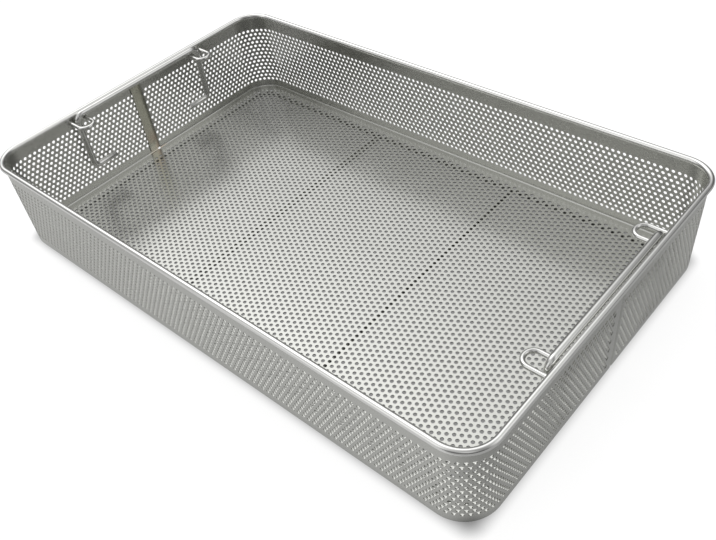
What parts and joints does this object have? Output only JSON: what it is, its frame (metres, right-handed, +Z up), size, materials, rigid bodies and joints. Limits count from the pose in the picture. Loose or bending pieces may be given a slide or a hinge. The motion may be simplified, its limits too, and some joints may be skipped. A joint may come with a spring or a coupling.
{
  "type": "sterilization basket",
  "caption": "Open rectangular basket of perforated sheet with a round wire rim, a wire base ring and a sliding lift handle at each short end.",
  "frame": {"origin": "under the middle of the basket, on the surface that the base ring stands on", "axes": "+Z up, X along the long side, +Y towards the back, away from the half of the wall that covers the lap on its outside"},
  "size_m": [0.4896, 0.3066, 0.0849],
  "materials": {
    "sheet_steel": "electropolished perforated stainless sheet, satin",
    "rim_steel": "polished stainless round wire",
    "wire_steel": "electropolished stainless round wire"
  },
  "bodies": {
    "basket": {"floor_sheet": "sheet_steel", "front_wall": "sheet_steel", "rear_wall": "sheet_steel", "rim_wire": "rim_steel", "base_ring": "wire_steel", "cross_wire_left": "wire_steel", "cross_wire_right": "wire_steel", "left_front_loop": "wire_steel", "left_rear_loop": "wire_steel", "right_front_loop": "wire_steel", "right_rear_loop": "wire_steel"},
    "left_handle": {"left_handle": "wire_steel"},
    "right_handle": {"right_handle": "wire_steel"}
  },
  "joints": [
    {"name": "left_handle_slide", "type": "slide", "parent": "basket", "child": "left_handle", "axis": [0, 0, 1], "range_m": [0, 0.043]},
    {"name": "right_handle_slide", "type": "slide", "parent": "basket", "child": "right_handle", "axis": [0, 0, 1], "range_m": [0, 0.043]}
  ]
}
